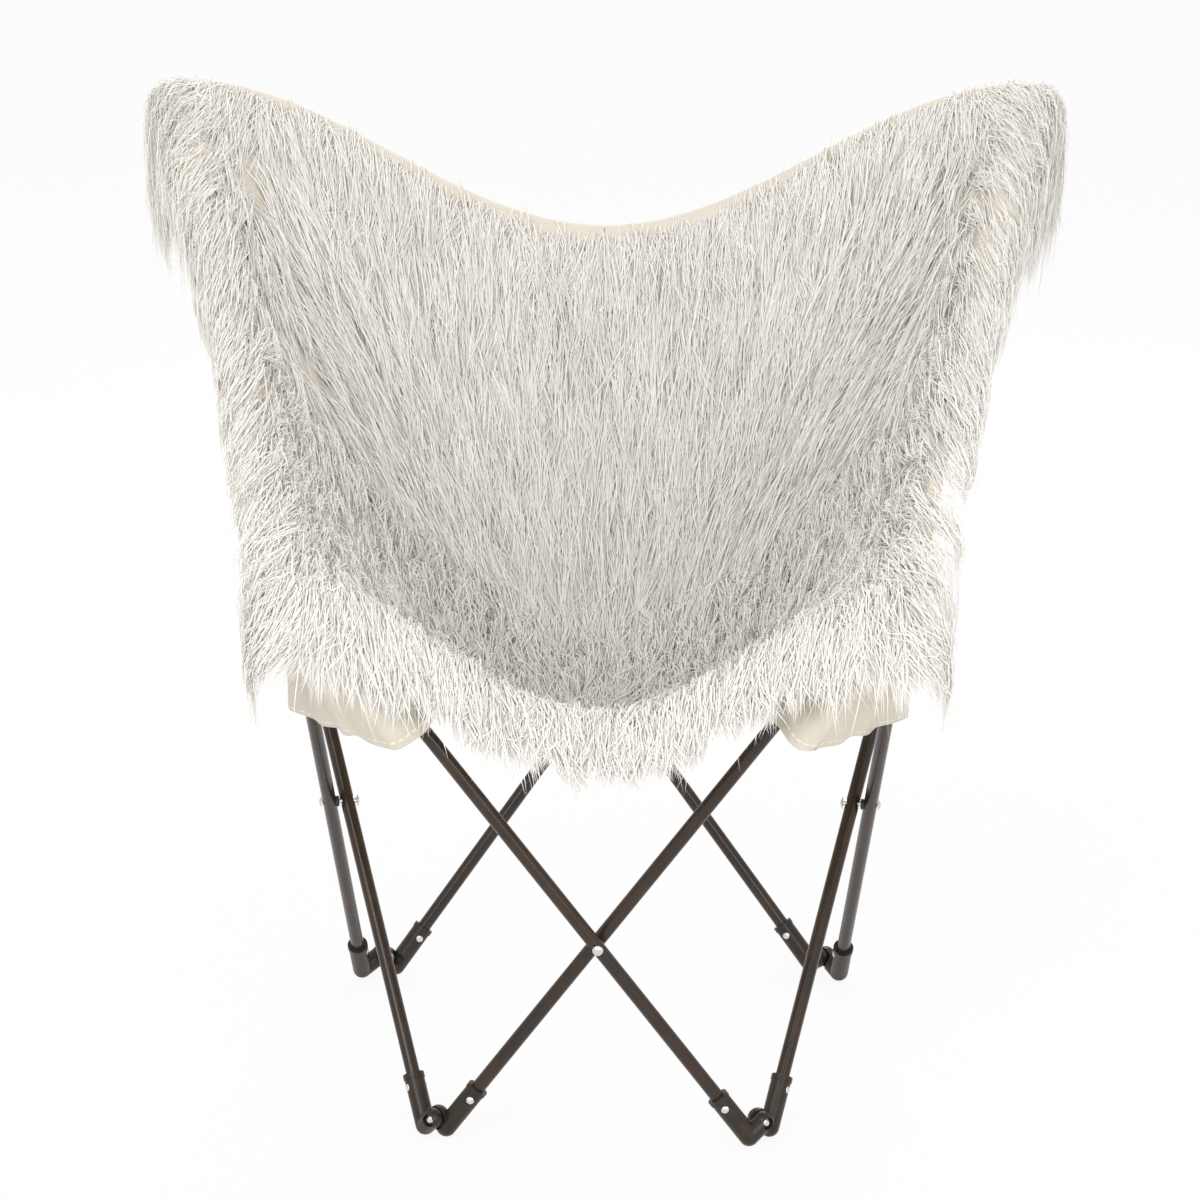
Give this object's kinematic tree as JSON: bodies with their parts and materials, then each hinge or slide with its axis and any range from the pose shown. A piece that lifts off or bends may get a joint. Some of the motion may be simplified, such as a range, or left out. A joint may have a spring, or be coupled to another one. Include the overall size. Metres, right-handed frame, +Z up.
{
  "type": "butterfly chair",
  "caption": "Folding butterfly chair: crossed steel tubes with moulded elbow joints carry a long-pile sling seat hung from corner pockets.",
  "frame": {"origin": "on the floor below the middle of the open chair's bounding box", "axes": "+Z up, the front faces -Y, +X to the right seen from the front"},
  "size_m": [0.9005, 0.6966, 0.8706],
  "materials": {
    "tube": "glossy dark brown enamel",
    "elbow": "satin moulding",
    "rivet": "bright",
    "spacer": "satin",
    "fur": "long silky pile",
    "canvas": "plain weave"
  },
  "bodies": {
    "seat": {"seat_canvas": "canvas"},
    "back": {"back_canvas": "canvas"},
    "front_tube_left": {"front_tube_left": "tube", "front_tube_left_foot_elbow": "elbow", "front_tube_left_top_elbow": "elbow", "front_tube_left_socket_rivets": "rivet", "front_crossing_rivet": "rivet", "front_crossing_spacer": "spacer"},
    "front_tube_right": {"front_tube_right": "tube", "front_tube_right_foot_elbow": "elbow", "front_tube_right_top_elbow": "elbow", "front_tube_right_socket_rivets": "rivet", "front_right_foot_rivet": "rivet"},
    "left_tube_long": {"left_tube_long": "tube", "left_tube_long_foot_elbow": "elbow", "left_tube_long_top_elbow": "elbow", "left_tube_long_socket_rivets": "rivet", "front_left_foot_rivet": "rivet"},
    "left_tube_short": {"left_tube_short": "tube", "left_tube_short_foot_elbow": "elbow", "left_tube_short_top_elbow": "elbow", "left_tube_short_socket_rivets": "rivet", "rear_left_foot_rivet": "rivet", "front_left_corner_rivet": "rivet", "left_crossing_rivet": "rivet", "left_crossing_spacer": "spacer"},
    "right_tube_long": {"right_tube_long": "tube", "right_tube_long_foot_elbow": "elbow", "right_tube_long_top_elbow": "elbow", "right_tube_long_socket_rivets": "rivet", "rear_right_corner_rivet": "rivet"},
    "right_tube_short": {"right_tube_short": "tube", "right_tube_short_foot_elbow": "elbow", "right_tube_short_top_elbow": "elbow", "right_tube_short_socket_rivets": "rivet", "rear_right_foot_rivet": "rivet", "front_right_corner_rivet": "rivet", "right_crossing_rivet": "rivet", "right_crossing_spacer": "spacer"},
    "rear_tube_left": {"rear_tube_left": "tube", "rear_tube_left_foot_elbow": "elbow", "rear_tube_left_top_elbow": "elbow", "rear_tube_left_socket_rivets": "rivet"},
    "rear_tube_right": {"rear_tube_right": "tube", "rear_tube_right_foot_elbow": "elbow", "rear_tube_right_top_elbow": "elbow", "rear_tube_right_socket_rivets": "rivet", "rear_left_corner_rivet": "rivet", "rear_crossing_rivet": "rivet", "rear_crossing_spacer": "spacer"},
    "front_right_corner_cover": {"seat_fur_right": "fur", "front_right_corner_pocket": "canvas"},
    "front_left_corner_cover": {"seat_fur_left": "fur", "front_left_corner_pocket": "canvas"},
    "rear_right_corner_cover": {"back_fur_right": "fur", "rear_right_corner_pocket": "canvas"},
    "rear_left_corner_cover": {"back_fur_left": "fur", "rear_left_corner_pocket": "canvas"}
  },
  "joints": [
    {"name": "fold", "type": "hinge", "parent": "seat", "child": "front_tube_left", "pos_m": [-0.147, -0.30064, 0.0196], "axis": [0, -1, 0], "range_deg": [0, 30.8], "deforming": ["seat_canvas", "back_canvas", "seat_fur_right", "seat_fur_left", "back_fur_right", "back_fur_left", "front_right_corner_pocket", "front_left_corner_pocket", "rear_right_corner_pocket", "rear_left_corner_pocket"]},
    {"name": "left_long_turn", "type": "hinge", "parent": "seat", "child": "left_tube_long", "pos_m": [-0.147, -0.30064, 0.0196], "axis": [0.914, 0.4058, 0], "range_deg": [0, 30.8]},
    {"name": "front_right_cover_turn", "type": "hinge", "parent": "front_tube_left", "child": "front_right_corner_cover", "pos_m": [0.24366, -0.30064, 0.48025], "axis": [0, -1, 0], "range_deg": [-30.8, 0]},
    {"name": "right_short_turn", "type": "hinge", "parent": "front_right_corner_cover", "child": "right_tube_short", "pos_m": [0.24366, -0.30064, 0.48025], "axis": [-0.9972, -0.0746, 0], "range_deg": [0, 30.8]},
    {"name": "rear_left_cover_turn", "type": "hinge", "parent": "left_tube_long", "child": "rear_left_corner_cover", "pos_m": [-0.42072, 0.31587, 0.81499], "axis": [0.914, 0.4058, 0], "range_deg": [-30.8, 0]},
    {"name": "rear_right_turn", "type": "hinge", "parent": "rear_left_corner_cover", "child": "rear_tube_right", "pos_m": [-0.42072, 0.31587, 0.81499], "axis": [0.3364, 0.9417, 0], "range_deg": [0, 30.8]},
    {"name": "back_turn", "type": "hinge", "parent": "rear_tube_right", "child": "back", "pos_m": [0, 0.16556, 0.28818], "axis": [0.3364, 0.9417, 0], "range_deg": [-30.8, 0]},
    {"name": "rear_left_turn", "type": "hinge", "parent": "back", "child": "rear_tube_left", "pos_m": [0, 0.16556, 0.28818], "axis": [0.3364, -0.9417, 0], "range_deg": [0, 30.8]},
    {"name": "rear_right_cover_turn", "type": "hinge", "parent": "rear_tube_left", "child": "rear_right_corner_cover", "pos_m": [0.42072, 0.31587, 0.81499], "axis": [0.3364, -0.9417, 0], "range_deg": [-30.8, 0]},
    {"name": "right_long_turn", "type": "hinge", "parent": "rear_right_corner_cover", "child": "right_tube_long", "pos_m": [0.42072, 0.31587, 0.81499], "axis": [0.914, -0.4058, 0], "range_deg": [0, 30.8]},
    {"name": "front_cross_turn", "type": "hinge", "parent": "front_tube_left", "child": "front_tube_right", "pos_m": [0, -0.30064, 0.19293], "axis": [0, 1, 0], "range_deg": [0, 61.6]},
    {"name": "front_left_cover_turn", "type": "hinge", "parent": "front_tube_right", "child": "front_left_corner_cover", "pos_m": [-0.24366, -0.30064, 0.48025], "axis": [0, 1, 0], "range_deg": [-30.8, 0]},
    {"name": "left_short_turn", "type": "hinge", "parent": "front_left_corner_cover", "child": "left_tube_short", "pos_m": [-0.24366, -0.30064, 0.48025], "axis": [-0.9972, 0.0746, 0], "range_deg": [0, 30.8]}
  ],
  "couplings": [
    {"joint": "left_long_turn", "follows": "fold", "ratio": 1},
    {"joint": "front_right_cover_turn", "follows": "fold", "ratio": -1},
    {"joint": "right_short_turn", "follows": "fold", "ratio": 1},
    {"joint": "rear_left_cover_turn", "follows": "fold", "ratio": -1},
    {"joint": "rear_right_turn", "follows": "fold", "ratio": 1},
    {"joint": "back_turn", "follows": "fold", "ratio": -1},
    {"joint": "rear_left_turn", "follows": "fold", "ratio": 1},
    {"joint": "rear_right_cover_turn", "follows": "fold", "ratio": -1},
    {"joint": "right_long_turn", "follows": "fold", "ratio": 1},
    {"joint": "front_cross_turn", "follows": "fold", "ratio": 2},
    {"joint": "front_left_cover_turn", "follows": "fold", "ratio": -1},
    {"joint": "left_short_turn", "follows": "fold", "ratio": 1}
  ]
}
